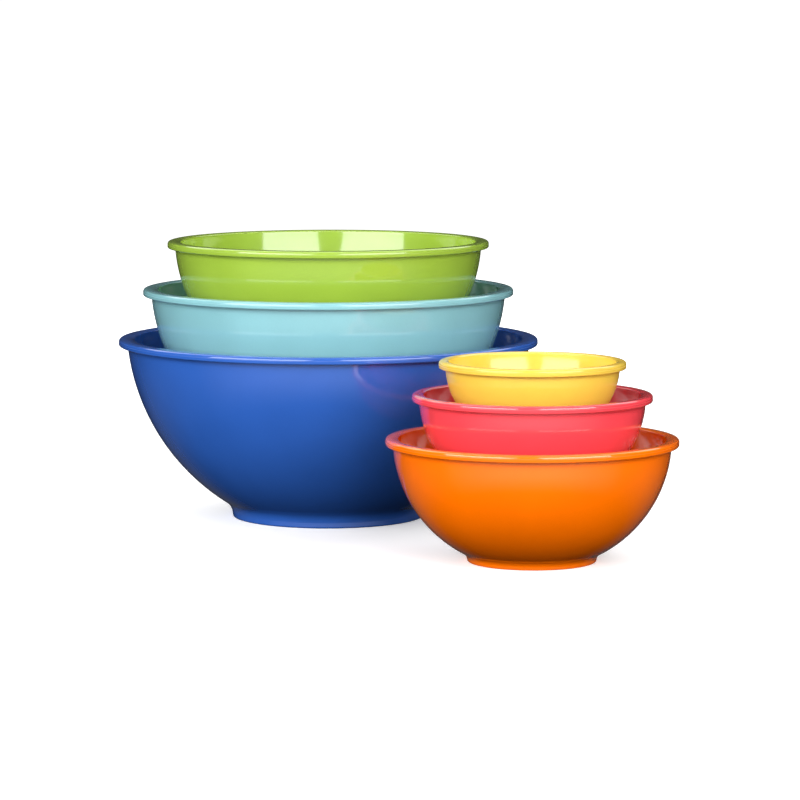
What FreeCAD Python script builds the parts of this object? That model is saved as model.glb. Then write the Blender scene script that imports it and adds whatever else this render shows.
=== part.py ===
"""Set of six nesting mixing bowls, standing as two stacks of three side by side.

Each bowl is one moulded piece: a round shell with a flat-bottomed foot ring, a curved wall and a
broad lip that stands out past the wall.  Every size of a bowl follows one rule: the largest bowl's
size less a constant step for each bowl down the set, so a smaller bowl always fits in a larger one.

Frame: millimetres, +Z up.  The origin is the centre of the space that the two stacks take up on
the table, at the table's level.  The largest bowl stands at the back left, towards -X and +Y.
"""
import FreeCAD, Part
import Sketcher
import math
import os

# Sizes that shrink down the set: (largest bowl, step from one bowl to the next smaller one).
FAMILY_SIZES = {
    "lip_radius": (152.4, 17.9),
    "bowl_height": (131.1, 15.72),
    "lip_overhang": (6.3, 0.4),
    "wall_thickness": (5.0, 0.5),
    # Degrees above level at which the outer wall's arc leaves the foot.
    "wall_slope": (30.7, 1.6),
    "foot_radius": (71.0, 8.9),
    "foot_height": (8.4, 1.3),
    "foot_ring_width": (7.0, 0.9),
    "foot_recess": (3.0, 0.4),
    "foot_blend": (11.0, 1.7),
    "foot_edge_round": (1.4, 0.15),
    "floor_thickness": (5.5, 0.5),
    "floor_blend": (7.0, 0.8),
}

# Sizes that every bowl shares.
SHARED_SIZES = {
    "lip_depth": 5.2,
    "lip_crown": 0.9,
    "lip_top_round": 1.9,
    "lip_under_round": 0.9,
    "lip_inner_round": 0.7,
    "foot_taper": 0.9,
    "foot_recess_round": 0.6,
    # Room between the next bowl's foot and the edge of the flat floor that it stands on.
    "floor_margin": 1.5,
    # Upright gap left under a bowl's foot when it is seated in the bowl below.
    "seat_clearance": 0.3,
    # Gap between the lips of the two bowls on the table, and the direction from one to the other.
    "stack_gap": 6.9,
    "stack_bearing": 56.9,
}

# The two stacks, each from the bottom bowl up, and together the whole set from largest to smallest.
STACKS = (
    ("blue_bowl", "aqua_bowl", "green_bowl"),
    ("orange_bowl", "red_bowl", "yellow_bowl"),
)
RANK = {name: rank for rank, name in enumerate(STACKS[0] + STACKS[1])}

# How far above its seat in the bowl below each upper bowl is shown.
DISPLAY_LIFTS = {
    "aqua_bowl_lift": 43.1,
    "green_bowl_lift": 42.2,
    "red_bowl_lift": 39.4,
    "yellow_bowl_lift": 32.7,
}

doc = FreeCAD.newDocument("nesting_bowls")
sheet = doc.addObject("Spreadsheet::Sheet", "sheet")


def fill_sheet():
    """Write every driving dimension to the sheet as a number with an alias."""
    cells = dict(SHARED_SIZES)
    cells.update(DISPLAY_LIFTS)
    for alias, (largest, step) in FAMILY_SIZES.items():
        cells[alias] = largest
        cells[alias + "_step"] = step
    for row, (alias, value) in enumerate(cells.items(), start=1):
        sheet.set("A%d" % row, alias)
        sheet.set("B%d" % row, "%s" % value)
        sheet.setAlias("B%d" % row, alias)
    doc.recompute()


def size(alias, rank):
    """Expression for a family size of the bowl at this rank."""
    return "(sheet.%s - %d * sheet.%s_step)" % (alias, rank, alias)


def number(expression):
    """Value of an expression, as a plain number."""
    return float(sheet.evalExpression(expression))


def bowl_sizes(rank):
    """Expressions for the heights and radii that outline one bowl."""
    at = {alias: size(alias, rank) for alias in FAMILY_SIZES}
    at["lip_under"] = "(%s - sheet.lip_depth)" % at["bowl_height"]
    at["lip_edge"] = "(%s - sheet.lip_crown)" % at["bowl_height"]
    at["wall_radius"] = "(%s - %s)" % (at["lip_radius"], at["lip_overhang"])
    at["mouth_radius"] = "(%s - %s)" % (at["wall_radius"], at["wall_thickness"])
    at["foot_edge"] = "(%s - sheet.foot_taper)" % at["foot_radius"]
    at["recess_radius"] = "(%s - %s)" % (at["foot_edge"], at["foot_ring_width"])
    at["floor_height"] = "(%s + %s)" % (at["foot_recess"], at["floor_thickness"])
    at["floor_radius"] = "(%s + sheet.floor_margin)" % size("foot_radius", rank + 1)
    at["wall_arc"] = wall_arc_radius(at)
    at["inner_arc"] = "(%s - %s)" % (at["wall_arc"], at["wall_thickness"])
    at["crown_arc"] = crown_radius(at["lip_radius"], at["mouth_radius"])
    return at


def wall_arc_radius(at):
    """Radius of the arc from the foot to the lip that leaves the foot at the wall's slope."""
    run = "(%s - %s)" % (at["wall_radius"], at["foot_radius"])
    rise = "(%s - %s)" % (at["lip_under"], at["foot_height"])
    half_turn_sine = "cos(%s * 1 deg + atan(%s / %s))" % (at["wall_slope"], run, rise)
    return "(sqrt(%s^2 + %s^2) / (2 * %s))" % (run, rise, half_turn_sine)


def crown_radius(outer, inner):
    """Radius of the low dome over the lip, which rises by lip_crown between its two edges."""
    half = "((%s - %s) / 2)" % (outer, inner)
    return "(%s^2 / (2 * sheet.lip_crown) + sheet.lip_crown / 2)" % half


def arc_centre(start, end, radius):
    """Centre of the counterclockwise arc of this radius from start to end."""
    chord = end - start
    rise = math.sqrt(radius ** 2 - (chord.Length / 2) ** 2)
    left = FreeCAD.Vector(-chord.y, chord.x, 0).normalize()
    return (start + end) * 0.5 + left * rise


def outline(sketch, corners, arcs):
    """Close an outline through the corners, with every corner and radius bound to the sheet.

    corners are pairs of expressions (radius, height); an empty expression is zero, on the axis or
    on the foot's plane.  arcs gives the radius of the sides that are arcs, by the number of the
    corner where the side starts, and whether it runs counterclockwise.
    """
    points = [FreeCAD.Vector(number(x or "0"), number(z or "0"), 0) for x, z in corners]
    count = len(points)
    ends = []
    for index in range(count):
        start = points[index]
        end = points[(index + 1) % count]
        if index not in arcs:
            sketch.addGeometry(Part.LineSegment(start, end), False)
            ends.append((1, 2))
            continue
        radius, counterclockwise = arcs[index]
        if not counterclockwise:
            start, end = end, start
        centre = arc_centre(start, end, number(radius))
        circle = Part.Circle(centre, FreeCAD.Vector(0, 0, 1), number(radius))
        angles = [math.atan2(p.y - centre.y, p.x - centre.x) for p in (start, end)]
        sketch.addGeometry(Part.ArcOfCircle(circle, *angles), False)
        ends.append((1, 2) if counterclockwise else (2, 1))
    for index in range(count):
        following = (index + 1) % count
        sketch.addConstraint(Sketcher.Constraint(
            "Coincident", index, ends[index][1], following, ends[following][0]))
    for index, (x, z) in enumerate(corners):
        bind_coordinate(sketch, "DistanceX", "radius_%d" % index, index, ends[index][0], x)
        bind_coordinate(sketch, "DistanceY", "height_%d" % index, index, ends[index][0], z)
    for index, (radius, counterclockwise) in arcs.items():
        place = sketch.addConstraint(Sketcher.Constraint("Radius", index, number(radius)))
        sketch.renameConstraint(place, "arc_%d" % index)
        sketch.setExpression("Constraints.arc_%d" % index, radius)


def bind_coordinate(sketch, kind, name, side, end, expression):
    """Hold one end of a side at a radius or height from the sheet, or on the axis that is zero."""
    if not expression:
        axis = -2 if kind == "DistanceX" else -1
        sketch.addConstraint(Sketcher.Constraint("PointOnObject", side, end, axis))
        return
    origin = (-1, 1)
    place = sketch.addConstraint(
        Sketcher.Constraint(kind, *origin, side, end, number(expression)))
    sketch.renameConstraint(place, name)
    sketch.setExpression("Constraints.%s" % name, expression)


def section_sketch(body, name):
    """Sketch on the body's own XZ plane, where x is radius and y is height."""
    sketch = body.newObject("Sketcher::SketchObject", name)
    plane = next(f for f in body.Origin.OriginFeatures if f.Role == "XZ_Plane")
    sketch.AttachmentSupport = [(plane, "")]
    sketch.MapMode = "FlatFace"
    return sketch


def turn(body, kind, name, sketch):
    """Turn a section about the bowl's axis, as a Revolution that adds or a Groove that cuts."""
    feature = body.newObject("PartDesign::" + kind, name)
    feature.Profile = sketch
    feature.ReferenceAxis = (sketch, ["V_Axis"])
    feature.Angle = 360
    doc.recompute()
    return feature


def ring_edges(feature, radius, height):
    """Names of the circular edges at this radius and height on a feature's solid."""
    tolerance = 0.01
    names = []
    for place, edge in enumerate(feature.Shape.Edges, start=1):
        if not isinstance(edge.Curve, Part.Circle):
            continue
        offset = edge.Curve.Center.z - height
        if abs(edge.Curve.Radius - radius) < tolerance and abs(offset) < tolerance:
            names.append("Edge%d" % place)
    return names


def round_ring(body, name, radius, height, rounding):
    """Fillet the circular edge at this radius and height."""
    base = body.Tip
    names = ring_edges(base, number(radius), number(height or "0"))
    if not names:
        raise RuntimeError("%s: no edge for %s" % (body.Label, name))
    fillet = body.newObject("PartDesign::Fillet", name)
    fillet.Base = (base, names)
    fillet.setExpression("Radius", rounding)
    doc.recompute()


def make_bowl(name, rank):
    """One bowl: shell turned from its outside, hollowed, recessed under the foot and rounded."""
    at = bowl_sizes(rank)
    body = doc.addObject("PartDesign::Body", name)
    body.Label = name

    outside = section_sketch(body, name + "_outside")
    outline(outside, [
        ("", ""),
        (at["foot_edge"], ""),
        (at["foot_radius"], at["foot_height"]),
        (at["wall_radius"], at["lip_under"]),
        (at["lip_radius"], at["lip_under"]),
        (at["lip_radius"], at["lip_edge"]),
        (at["mouth_radius"], at["lip_edge"]),
        ("", at["lip_edge"]),
    ], {2: (at["wall_arc"], True), 5: (at["crown_arc"], True)})
    turn(body, "Revolution", name + "_shell", outside)
    full_volume = body.Shape.Volume

    inside = section_sketch(body, name + "_inside")
    outline(inside, [
        ("", at["floor_height"]),
        (at["floor_radius"], at["floor_height"]),
        (at["mouth_radius"], at["lip_edge"]),
        (at["mouth_radius"], at["bowl_height"]),
        ("", at["bowl_height"]),
    ], {1: (at["inner_arc"], True)})
    turn(body, "Groove", name + "_hollow", inside)
    hollow_volume = body.Shape.Volume
    check_cut(name, full_volume, hollow_volume)

    underside = section_sketch(body, name + "_underside")
    outline(underside, [
        ("", ""),
        (at["recess_radius"], ""),
        (at["recess_radius"], at["foot_recess"]),
        ("", at["foot_recess"]),
    ], {})
    turn(body, "Groove", name + "_recess", underside)
    check_cut(name, hollow_volume, body.Shape.Volume)

    rings = (
        ("lip_top", at["lip_radius"], at["lip_edge"], "sheet.lip_top_round"),
        ("lip_under", at["lip_radius"], at["lip_under"], "sheet.lip_under_round"),
        ("lip_inner", at["mouth_radius"], at["lip_edge"], "sheet.lip_inner_round"),
        ("foot_blend", at["foot_radius"], at["foot_height"], at["foot_blend"]),
        ("floor_blend", at["floor_radius"], at["floor_height"], at["floor_blend"]),
        ("foot_edge", at["foot_edge"], "", at["foot_edge_round"]),
        ("recess_edge", at["recess_radius"], "", "sheet.foot_recess_round"),
        ("recess_corner", at["recess_radius"], at["foot_recess"], "sheet.foot_recess_round"),
    )
    for ring, radius, height, rounding in rings:
        round_ring(body, "%s_%s" % (name, ring), radius, height, rounding)
    return body


def check_cut(name, before, after):
    """Stop if a groove took nothing away."""
    if not after < before:
        raise RuntimeError("%s: a groove cut nothing" % name)


def seat_height(support):
    """Expression for the height of a seated bowl's foot above the foot of the bowl that holds it."""
    return "%s + sheet.seat_clearance" % bowl_sizes(RANK[support])["floor_height"]


def place_bowls(bodies):
    """Stand the two stacks either side of the origin, each bowl at its display height."""
    near, far = (size("lip_radius", RANK[stack[0]]) for stack in STACKS)
    reach = "(%s + %s + sheet.stack_gap)" % (near, far)
    across = "(%s * cos(sheet.stack_bearing * 1 deg))" % reach
    along = "(%s * sin(sheet.stack_bearing * 1 deg))" % reach
    first_x = "(%s - %s - %s) / 2" % (near, far, across)
    first_y = "(%s - %s + %s) / 2" % (far, near, along)
    axes = ((first_x, first_y), ("%s + %s" % (first_x, across), "%s - %s" % (first_y, along)))
    for stack, (axis_x, axis_y) in zip(STACKS, axes):
        height = "0"
        for level, name in enumerate(stack):
            if level:
                height += " + %s + sheet.%s_lift" % (seat_height(stack[level - 1]), name)
            bodies[name].setExpression("Placement.Base.x", axis_x)
            bodies[name].setExpression("Placement.Base.y", axis_y)
            bodies[name].setExpression("Placement.Base.z", height)
    doc.recompute()


def check_objects():
    """Stop if any object of the document failed or any bowl is not one valid solid."""
    for item in doc.Objects:
        if "Invalid" in item.State or "Error" in item.State:
            raise RuntimeError("%s failed: %s" % (item.Name, item.State))
    for name, body in bodies.items():
        shape = body.Shape
        if shape.isNull() or not shape.isValid() or len(shape.Solids) != 1:
            raise RuntimeError("%s is not one valid solid" % name)


fill_sheet()
bodies = {name: make_bowl(name, rank) for name, rank in RANK.items()}
place_bowls(bodies)
check_objects()

os.makedirs("parts", exist_ok=True)
for name, body in bodies.items():
    body.Shape.exportStep("parts/%s.step" % name)
    base = body.Placement.Base
    print("%-12s at %7.2f %7.2f %7.2f, %7.1f cm3" % (name, *base, body.Shape.Volume / 1000))
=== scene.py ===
"""Looks of a set of nesting mixing bowls: six glossy moulded bowls in two raised stacks."""
import math

import bpy
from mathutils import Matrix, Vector


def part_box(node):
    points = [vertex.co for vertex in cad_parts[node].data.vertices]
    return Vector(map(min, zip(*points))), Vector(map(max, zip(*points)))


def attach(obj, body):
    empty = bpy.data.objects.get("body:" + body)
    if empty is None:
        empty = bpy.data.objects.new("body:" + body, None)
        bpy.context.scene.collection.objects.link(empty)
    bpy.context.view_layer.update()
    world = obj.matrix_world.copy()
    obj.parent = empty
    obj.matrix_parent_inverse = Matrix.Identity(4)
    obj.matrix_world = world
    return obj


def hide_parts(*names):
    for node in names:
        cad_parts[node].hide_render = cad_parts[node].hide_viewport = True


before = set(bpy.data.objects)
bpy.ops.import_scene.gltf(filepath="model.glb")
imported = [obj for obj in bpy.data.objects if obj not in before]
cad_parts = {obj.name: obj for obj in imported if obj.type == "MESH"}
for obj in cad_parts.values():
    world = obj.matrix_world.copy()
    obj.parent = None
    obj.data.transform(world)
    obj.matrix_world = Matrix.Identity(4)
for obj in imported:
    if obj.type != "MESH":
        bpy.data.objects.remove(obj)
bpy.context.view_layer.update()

# ---------------------------------------------------------------------------------------------
# Sizes, in metres.  A bowl's lip radius, height and place come from its CAD node's box; the rest
# follow the set's own rule: the largest bowl's size less a constant step for each smaller bowl.

BOWL_NAMES = ("blue_bowl", "aqua_bowl", "green_bowl", "orange_bowl", "red_bowl", "yellow_bowl")

FAMILY_SIZES = {
    "lip_overhang": (0.0063, 0.0004),
    "wall_thickness": (0.0050, 0.0005),
    "wall_slope": (math.radians(30.7), math.radians(1.6)),
    "foot_radius": (0.0710, 0.0089),
    "foot_height": (0.0084, 0.0013),
    "foot_ring_width": (0.0070, 0.0009),
    "foot_recess": (0.0030, 0.0004),
    "foot_blend": (0.0110, 0.0017),
    "foot_edge_round": (0.0014, 0.00015),
    "floor_thickness": (0.0055, 0.0005),
    "floor_blend": (0.0070, 0.0008),
}
FOOT_RADIUS_STEP = FAMILY_SIZES["foot_radius"][1]
# Sizes that every bowl shares.
FLOOR_MARGIN = 0.0015
FOOT_TAPER = 0.0009
LIP_DEPTH = 0.0052
LIP_CROWN = 0.0009
LIP_TOP_ROUND = 0.0021
LIP_UNDER_ROUND = 0.0010
LIP_INNER_ROUND = 0.0007
LIP_ROOT_ROUND = 0.0006
RECESS_ROUND = 0.0006

# Fineness of the turned meshes: steps round the axis, along an arc and round a corner.
TURN_SEGMENTS = 288
ARC_STEPS = 44
ROUND_STEPS = 7


def bowl_sizes(name):
    """Every size of one bowl, by name, with its place."""
    rank = BOWL_NAMES.index(name)
    low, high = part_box(name)
    at = {alias: largest - rank * step for alias, (largest, step) in FAMILY_SIZES.items()}
    at["axis"] = ((low.x + high.x) / 2, (low.y + high.y) / 2)
    at["base"] = low.z
    at["lip_radius"] = max(high.x - low.x, high.y - low.y) / 2
    at["height"] = high.z - low.z
    at["lip_under"] = at["height"] - LIP_DEPTH
    at["lip_edge"] = at["height"] - LIP_CROWN
    at["wall_radius"] = at["lip_radius"] - at["lip_overhang"]
    at["mouth_radius"] = at["wall_radius"] - at["wall_thickness"]
    at["foot_edge"] = at["foot_radius"] - FOOT_TAPER
    at["recess_radius"] = at["foot_edge"] - at["foot_ring_width"]
    at["floor_height"] = at["foot_recess"] + at["floor_thickness"]
    at["floor_radius"] = at["foot_radius"] - FOOT_RADIUS_STEP + FLOOR_MARGIN
    return at


# ---------------------------------------------------------------------------------------------
# Sections: a bowl's outline as sides joined at rounded corners, then turned about its axis.


def arc_side(start, end, radius):
    """Points of the counterclockwise arc of this radius from start to end, in a section."""
    start, end = Vector(start), Vector(end)
    chord = end - start
    rise = math.sqrt(radius ** 2 - (chord.length / 2) ** 2)
    centre = (start + end) / 2 + Vector((-chord.y, chord.x)).normalized() * rise
    first = math.atan2(start.y - centre.y, start.x - centre.x)
    last = math.atan2(end.y - centre.y, end.x - centre.x)
    angles = [first + (last - first) * step / ARC_STEPS for step in range(ARC_STEPS + 1)]
    return [centre + radius * Vector((math.cos(a), math.sin(a))) for a in angles]


def straight_side(start, end):
    """Points of a straight side."""
    return [Vector(start), Vector(end)]


def trim(points, length):
    """Cut this length off the start of a side, and give the new start."""
    points = list(points)
    while (points[1] - points[0]).length <= length and len(points) > 2:
        length -= (points[1] - points[0]).length
        points.pop(0)
    points[0] = points[0] + (points[1] - points[0]).normalized() * length
    return points


def rounded_outline(sides, rounds):
    """Join the sides into one line, with each corner between them rounded to its radius."""
    sides = [list(side) for side in sides]
    joins = []
    for index, radius in enumerate(rounds):
        before, after = sides[index], sides[index + 1]
        into = (before[-1] - before[-2]).normalized()
        out = (after[1] - after[0]).normalized()
        turn = into.angle(out)
        reach = radius * math.tan(turn / 2)
        sides[index] = list(reversed(trim(reversed(before), reach)))
        sides[index + 1] = trim(after, reach)
        start, end = sides[index][-1], sides[index + 1][0]
        into = (sides[index][-1] - sides[index][-2]).normalized()
        out = (sides[index + 1][1] - sides[index + 1][0]).normalized()
        pull = 4 / 3 * math.tan(turn / 4) * radius
        joins.append(bezier(start, start + into * pull, end - out * pull, end))
    line = []
    for index, side in enumerate(sides):
        line += side
        if index < len(joins):
            line += joins[index]
    return line


def bezier(start, first, second, end):
    """Points inside a cubic curve, without its ends."""
    points = []
    for step in range(1, ROUND_STEPS):
        t = step / ROUND_STEPS
        u = 1 - t
        points.append(u ** 3 * start + 3 * u * u * t * first
                      + 3 * u * t * t * second + t ** 3 * end)
    return points


def wall_arc_radius(at):
    """Radius of the outer wall's arc, which leaves the foot at the wall's slope."""
    run = at["wall_radius"] - at["foot_radius"]
    rise = at["lip_under"] - at["foot_height"]
    return math.hypot(run, rise) / (2 * math.cos(at["wall_slope"] + math.atan2(run, rise)))


def bowl_section(at):
    """Section of a bowl, from the middle of its underside round to the middle of its floor."""
    half_lip = (at["lip_radius"] - at["mouth_radius"]) / 2
    crown = half_lip ** 2 / (2 * LIP_CROWN) + LIP_CROWN / 2
    wall_arc = wall_arc_radius(at)
    inner_arc = arc_side(
        (at["floor_radius"], at["floor_height"]),
        (at["mouth_radius"], at["lip_edge"]),
        wall_arc - at["wall_thickness"])
    recess_top = (at["recess_radius"], at["foot_recess"])
    recess_foot = (at["recess_radius"], 0)
    foot_edge = (at["foot_edge"], 0)
    foot_top = (at["foot_radius"], at["foot_height"])
    wall_top = (at["wall_radius"], at["lip_under"])
    lip_low = (at["lip_radius"], at["lip_under"])
    lip_high = (at["lip_radius"], at["lip_edge"])
    mouth = (at["mouth_radius"], at["lip_edge"])
    sides = [
        straight_side((0, at["foot_recess"]), recess_top),
        straight_side(recess_top, recess_foot),
        straight_side(recess_foot, foot_edge),
        straight_side(foot_edge, foot_top),
        arc_side(foot_top, wall_top, wall_arc),
        straight_side(wall_top, lip_low),
        straight_side(lip_low, lip_high),
        arc_side(lip_high, mouth, crown),
        list(reversed(inner_arc)),
        straight_side(inner_arc[0], (0, at["floor_height"])),
    ]
    rounds = [RECESS_ROUND, RECESS_ROUND, at["foot_edge_round"], at["foot_blend"],
              LIP_ROOT_ROUND, LIP_UNDER_ROUND, LIP_TOP_ROUND, LIP_INNER_ROUND, at["floor_blend"]]
    return rounded_outline(sides, rounds)


def turned_mesh(name, section, axis, base):
    """Turn a section that starts and ends on the axis into one closed smooth mesh."""
    ring = section[1:-1]
    count = len(ring)
    angles = [2 * math.pi * step / TURN_SEGMENTS for step in range(TURN_SEGMENTS)]
    verts = [(axis[0], axis[1], base + section[0].y), (axis[0], axis[1], base + section[-1].y)]
    for angle in angles:
        c, s = math.cos(angle), math.sin(angle)
        verts += [(axis[0] + p.x * c, axis[1] + p.x * s, base + p.y) for p in ring]
    faces = []
    for step in range(TURN_SEGMENTS):
        here = 2 + step * count
        there = 2 + (step + 1) % TURN_SEGMENTS * count
        faces.append((0, there, here))
        faces.append((1, here + count - 1, there + count - 1))
        faces += [(here + i, there + i, there + i + 1, here + i + 1) for i in range(count - 1)]
    mesh = bpy.data.meshes.new(name)
    mesh.from_pydata(verts, [], faces)
    mesh.validate()
    mesh.shade_smooth()
    return mesh


# ---------------------------------------------------------------------------------------------
# Materials: one procedural moulded-melamine finish, in six colours.

# sRGB colours, as a colour card would give them.
BOWL_COLOURS = {
    "blue_bowl": (42, 88, 172),
    "aqua_bowl": (126, 178, 184),
    "green_bowl": (144, 174, 58),
    "orange_bowl": (246, 110, 0),
    "red_bowl": (226, 66, 76),
    "yellow_bowl": (220, 185, 70),
}
# Weight of the clear coat, and roughness added to the gloss.  The yellow bowl is a little duller.
BOWL_GLOSS = {name: (0.7, 0.0) for name in BOWL_NAMES}
BOWL_GLOSS["yellow_bowl"] = (0.2, 0.04)
REFRACTIVE_INDEX = 1.5
COAT_ROUGHNESS = 0.03

# Detail of the finish: noise scales per metre, and sizes in metres.
# Pigment: broad clouds and fine specks, their shares, and how far they shift the colour.
CLOUD_SCALE = 24.0
SPECK_SCALE = 900.0
CLOUD_SHARE = 0.8
SPECK_SHARE = 0.2
PIGMENT_SPREAD = 0.05
# Gloss: rubs from use between a least and a greatest roughness, and rings from polishing.
RUB_SCALE = 75.0
RING_SCALE = 1400.0
GLOSS_ROUGHNESS = (0.09, 0.15)
RING_ROUGHNESS = 0.03
# Dull places: the worn edge of the foot, and the mould's seam part way down the lip's edge.
FOOT_WEAR_HEIGHT = 0.0012
SEAM_WIDTH = 0.0004
SEAM_PLACE = 0.55
DULL_ROUGHNESS = 0.3
# Slight waves in the surface.
SWELL_SCALE = 28.0
SWELL_HEIGHT = 0.00003
# The parts of a noise's range that are stretched to the whole: for the clouds, and for the rest.
CLOUD_RANGE = (0.3, 0.7)
NOISE_RANGE = (0.35, 0.65)


def linear(srgb):
    """Linear RGBA from an sRGB colour of 0 to 255."""
    values = [c / 255 for c in srgb]
    return tuple(((v + 0.055) / 1.055) ** 2.4 if v > 0.04045 else v / 12.92 for v in values) + (1,)


def make_node(tree, kind, inputs=None, **settings):
    """Add a shader node, with its settings and the values or links of its inputs."""
    node = tree.nodes.new(kind)
    for key, value in settings.items():
        setattr(node, key, value)
    for key, value in (inputs or {}).items():
        if isinstance(value, bpy.types.NodeSocket):
            tree.links.new(value, node.inputs[key])
        else:
            node.inputs[key].default_value = value
    return node


def socket(sockets, identifier):
    """The socket with this identifier, where several share one name."""
    return next(one for one in sockets if one.identifier == identifier)


def band(tree, value, low, high, edge):
    """Mask that is 1 where the value lies between low and high, with soft edges."""
    rise = make_node(tree, "ShaderNodeMapRange", {
        "Value": value, "From Min": low - edge, "From Max": low}).outputs["Result"]
    fall = make_node(tree, "ShaderNodeMapRange", {
        "Value": value, "From Min": high, "From Max": high + edge, "To Min": 1.0, "To Max": 0.0})
    return make_node(tree, "ShaderNodeMath", {0: rise, 1: fall.outputs["Result"]},
                     operation="MULTIPLY").outputs[0]


def scaled(tree, value, low, high, to_low, to_high):
    """The value taken from one range to another, and held at its ends."""
    return make_node(tree, "ShaderNodeMapRange", {
        "Value": value, "From Min": low, "From Max": high,
        "To Min": to_low, "To Max": to_high}).outputs["Result"]


def added(tree, *values):
    """Sum of the values."""
    total = values[0]
    for value in values[1:]:
        total = make_node(tree, "ShaderNodeMath", {0: total, 1: value}, operation="ADD").outputs[0]
    return total


def noise(tree, place, scale, detail):
    """Noise of 0 to 1 over the places."""
    return make_node(tree, "ShaderNodeTexNoise", {
        "Vector": place, "Scale": scale, "Detail": detail}).outputs["Fac"]


def tinted(colour, factor):
    """A colour made lighter or darker by a factor."""
    return tuple(min(1, value * factor) for value in colour[:3]) + (1,)


def melamine(name, at):
    """Glossy moulded melamine: pigment clouds, polishing rings, fine rubs, a dull foot and seam."""
    material = bpy.data.materials.new(name)
    material.use_nodes = True
    tree = material.node_tree
    tree.nodes.clear()
    base = linear(BOWL_COLOURS[name])
    coat_weight, wear = BOWL_GLOSS[name]
    place = make_node(tree, "ShaderNodeTexCoord").outputs["Object"]
    foot_centre = (*at["axis"], at["base"])
    centred = make_node(tree, "ShaderNodeVectorMath", {0: place, 1: foot_centre},
                        operation="SUBTRACT").outputs[0]
    parts = make_node(tree, "ShaderNodeSeparateXYZ", {"Vector": centred}).outputs
    across = make_node(tree, "ShaderNodeCombineXYZ", {"X": parts["X"], "Y": parts["Y"]}).outputs[0]
    radius = make_node(
        tree, "ShaderNodeVectorMath", {0: across}, operation="LENGTH").outputs["Value"]
    profile = make_node(tree, "ShaderNodeCombineXYZ", {"X": radius, "Y": parts["Z"]}).outputs[0]

    clouds = noise(tree, centred, CLOUD_SCALE, 3.0)
    specks = noise(tree, centred, SPECK_SCALE, 1.0)
    pigment = added(tree,
                    scaled(tree, clouds, *CLOUD_RANGE, 0.0, CLOUD_SHARE),
                    scaled(tree, specks, *NOISE_RANGE, 0.0, SPECK_SHARE))
    shade = make_node(tree, "ShaderNodeMix", {"Factor": pigment}, data_type="RGBA")
    socket(shade.inputs, "A_Color").default_value = tinted(base, 1 - PIGMENT_SPREAD)
    socket(shade.inputs, "B_Color").default_value = tinted(base, 1 + PIGMENT_SPREAD)

    rings = noise(tree, profile, RING_SCALE, 2.0)
    rubs = noise(tree, centred, RUB_SCALE, 5.0)
    foot = scaled(tree, parts["Z"], 0.0, FOOT_WEAR_HEIGHT, 1.0, 0.0)
    seam_level = at["height"] - LIP_DEPTH * SEAM_PLACE
    seam = make_node(tree, "ShaderNodeMath", {
        0: band(tree, parts["Z"], seam_level, seam_level + SEAM_WIDTH, SEAM_WIDTH / 2),
        1: scaled(tree, radius, at["lip_radius"] - SEAM_WIDTH, at["lip_radius"], 0.0, 1.0)},
        operation="MULTIPLY").outputs[0]
    dull = make_node(tree, "ShaderNodeMath", {0: foot, 1: seam}, operation="MAXIMUM").outputs[0]
    least, greatest = (roughness + wear for roughness in GLOSS_ROUGHNESS)
    rough = added(tree,
                  scaled(tree, rubs, *NOISE_RANGE, least, greatest),
                  scaled(tree, rings, *NOISE_RANGE, 0.0, RING_ROUGHNESS),
                  scaled(tree, dull, 0.0, 1.0, 0.0, DULL_ROUGHNESS))

    swell = noise(tree, centred, SWELL_SCALE, 0.0)
    soft = make_node(tree, "ShaderNodeBump", {
        "Height": swell, "Strength": 1.0, "Distance": SWELL_HEIGHT})

    shader = make_node(tree, "ShaderNodeBsdfPrincipled", {
        "Base Color": socket(shade.outputs, "Result_Color"),
        "Roughness": rough, "Normal": soft.outputs["Normal"],
        "IOR": REFRACTIVE_INDEX, "Coat Weight": coat_weight, "Coat Roughness": COAT_ROUGHNESS})
    output = make_node(tree, "ShaderNodeOutputMaterial")
    tree.links.new(shader.outputs[0], output.inputs["Surface"])
    return material


def make_bowl(name):
    """Stand one finished bowl in for its CAD node."""
    at = bowl_sizes(name)
    mesh = turned_mesh(name + "_form", bowl_section(at), at["axis"], at["base"])
    mesh.materials.append(melamine(name, at))
    piece = bpy.data.objects.new(name + "_form", mesh)
    bpy.context.scene.collection.objects.link(piece)
    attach(piece, name)
    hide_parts(name)


# ---------------------------------------------------------------------------------------------
# Stage, light and camera.

# Camera: place from the foot of the large stack's axis in metres, degrees down, lens and sensor in
# millimetres, and how far it sees.
CAMERA_SETBACK = (0.0521, -2.6819, 0.3877)
CAMERA_PITCH = 6.448
CAMERA_LENS = 166.4
CAMERA_SENSOR = 36
CAMERA_REACH = 200

# Softboxes: name, degrees round from the camera's side, degrees up, distance, width, height,
# radiance, and whether the bowls' gloss mirrors it.  They face a point on the large stack's axis.
SOFTBOXES = (
    ("left_box", -37.0, 17.0, 1.6, 1.6, 0.9, 6.4, True),
    ("right_box", 33.0, 17.0, 1.6, 1.4, 0.9, 6.4, True),
    ("left_fill", -78.0, 17.0, 1.9, 1.6, 1.2, 2.1, False),
    ("right_fill", 78.0, 17.0, 1.9, 1.6, 1.2, 0.9, False),
    ("rear_left_box", -140.0, 50.0, 1.8, 1.8, 1.4, 1.8, True),
    ("rear_right_box", 140.0, 50.0, 1.8, 1.8, 1.4, 1.8, True),
    ("rear_fill", 180.0, 8.0, 1.9, 2.0, 0.7, 1.6, False),
    ("top_box", 0.0, 88.0, 1.7, 1.2, 1.2, 0.9, True),
)
LIGHT_TARGET_HEIGHT = 0.15
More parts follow.
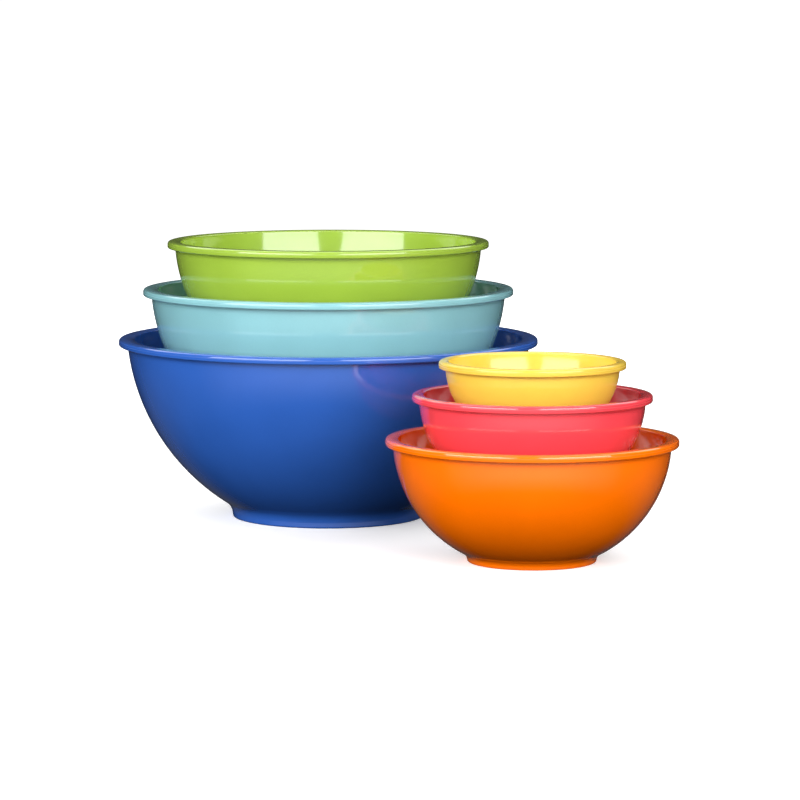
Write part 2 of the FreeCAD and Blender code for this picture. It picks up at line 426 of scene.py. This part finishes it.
# The surround's light: in front, by the sine of the angle above the horizon, its share of that
# behind, and where it goes from one to the other, by the direction's part towards the back.
SURROUND = ((-1.0, 0.02), (-0.64, 0.04), (-0.44, 0.7), (-0.32, 0.7), (-0.2, 0.2), (0.0, 0.3),
            (0.15, 0.4), (1.0, 0.2))
REAR_SHARE = 0.08
REAR_BLEND = (-0.9, -0.1)
# The floor: half its width, its grey and roughness, and its own glow near the bowls and far off,
# with the distances where it changes.
FLOOR_REACH = 90.0
FLOOR_GREY = 0.85
FLOOR_ROUGHNESS = 0.9
NEAR_GLOW = 0.34
FAR_GLOW = 1.0
GLOW_REACH = (0.45, 1.9)


def softbox(name, target, around, up, distance, width, height, radiance, mirrored):
    """A rectangular light that faces the target from a direction round and above it.

    Its energy gives the radiance whatever its area, because a flat light spreads over pi.
    """
    around, up = math.radians(around), math.radians(up)
    way = Vector((math.sin(around) * math.cos(up), -math.cos(around) * math.cos(up), math.sin(up)))
    data = bpy.data.lights.new(name, "AREA")
    data.shape = "RECTANGLE"
    data.size = width
    data.size_y = height
    data.energy = radiance * math.pi * width * height
    light = bpy.data.objects.new(name, data)
    light.location = Vector(target) + way * distance
    light.rotation_euler = way.to_track_quat("Z", "Y").to_euler()
    light.visible_glossy = mirrored
    bpy.context.scene.collection.objects.link(light)


def make_stage():
    """A plain pale floor, whose light the bowls don't pick up."""
    mesh = bpy.data.meshes.new("floor")
    reach = FLOOR_REACH
    corners = [(-reach, -reach, 0), (reach, -reach, 0), (reach, reach, 0), (-reach, reach, 0)]
    mesh.from_pydata(corners, [], [(0, 1, 2, 3)])
    floor = bpy.data.objects.new("floor", mesh)
    floor.visible_diffuse = False
    floor.visible_glossy = False
    bpy.context.scene.collection.objects.link(floor)
    material = bpy.data.materials.new("floor")
    material.use_nodes = True
    tree = material.node_tree
    place = make_node(tree, "ShaderNodeTexCoord").outputs["Object"]
    distance = make_node(
        tree, "ShaderNodeVectorMath", {0: place}, operation="LENGTH").outputs["Value"]
    glow = make_node(tree, "ShaderNodeMapRange", {
        "Value": distance, "From Min": GLOW_REACH[0], "From Max": GLOW_REACH[1],
        "To Min": NEAR_GLOW, "To Max": FAR_GLOW}, interpolation_type="SMOOTHSTEP")
    shader = tree.nodes["Principled BSDF"]
    shader.inputs["Base Color"].default_value = (FLOOR_GREY, FLOOR_GREY, FLOOR_GREY, 1)
    shader.inputs["Roughness"].default_value = FLOOR_ROUGHNESS
    shader.inputs["Specular IOR Level"].default_value = 0.0
    shader.inputs["Emission Color"].default_value = (1, 1, 1, 1)
    tree.links.new(glow.outputs["Result"], shader.inputs["Emission Strength"])
    mesh.materials.append(material)


def make_surround():
    """The light of a plain studio: palest low in front, dim above, straight below and behind."""
    world = bpy.data.worlds.new("surround")
    world.use_nodes = True
    tree = world.node_tree
    way = make_node(tree, "ShaderNodeTexCoord").outputs["Generated"]
    height = make_node(tree, "ShaderNodeSeparateXYZ", {"Vector": way}).outputs["Z"]
    share = make_node(
        tree, "ShaderNodeMapRange", {"Value": height, "From Min": -1.0}).outputs["Result"]
    ramp = make_node(tree, "ShaderNodeValToRGB", {"Fac": share})
    stops = ramp.color_ramp.elements
    stops.remove(stops[1])
    for index, (sine, level) in enumerate(SURROUND):
        position = (sine + 1) / 2
        stop = stops.new(position) if index else stops[0]
        stop.position = position
        stop.color = (level, level, level, 1)
    depth = make_node(tree, "ShaderNodeSeparateXYZ", {"Vector": way}).outputs["Y"]
    front = make_node(tree, "ShaderNodeMapRange", {
        "Value": depth, "From Min": REAR_BLEND[0], "From Max": REAR_BLEND[1],
        "To Min": 1.0, "To Max": REAR_SHARE})
    tree.links.new(ramp.outputs["Color"], tree.nodes["Background"].inputs["Color"])
    tree.links.new(front.outputs["Result"], tree.nodes["Background"].inputs["Strength"])
    bpy.context.scene.world = world


def make_camera(axis):
    """Camera in front of the large stack, a little above the rims and looking slightly down."""
    data = bpy.data.cameras.new("camera")
    data.lens = CAMERA_LENS
    data.sensor_width = CAMERA_SENSOR
    data.clip_end = CAMERA_REACH
    camera = bpy.data.objects.new("camera", data)
    camera.location = (axis[0] + CAMERA_SETBACK[0], axis[1] + CAMERA_SETBACK[1], CAMERA_SETBACK[2])
    camera.rotation_euler = (math.radians(90 - CAMERA_PITCH), 0, 0)
    bpy.context.scene.collection.objects.link(camera)
    bpy.context.scene.camera = camera


for bowl in BOWL_NAMES:
    make_bowl(bowl)
large_axis = bowl_sizes("blue_bowl")["axis"]
make_camera(large_axis)
make_stage()
make_surround()
for box_name, *placing in SOFTBOXES:
    softbox(box_name, (*large_axis, LIGHT_TARGET_HEIGHT), *placing)
bpy.context.scene.view_settings.view_transform = "Standard"
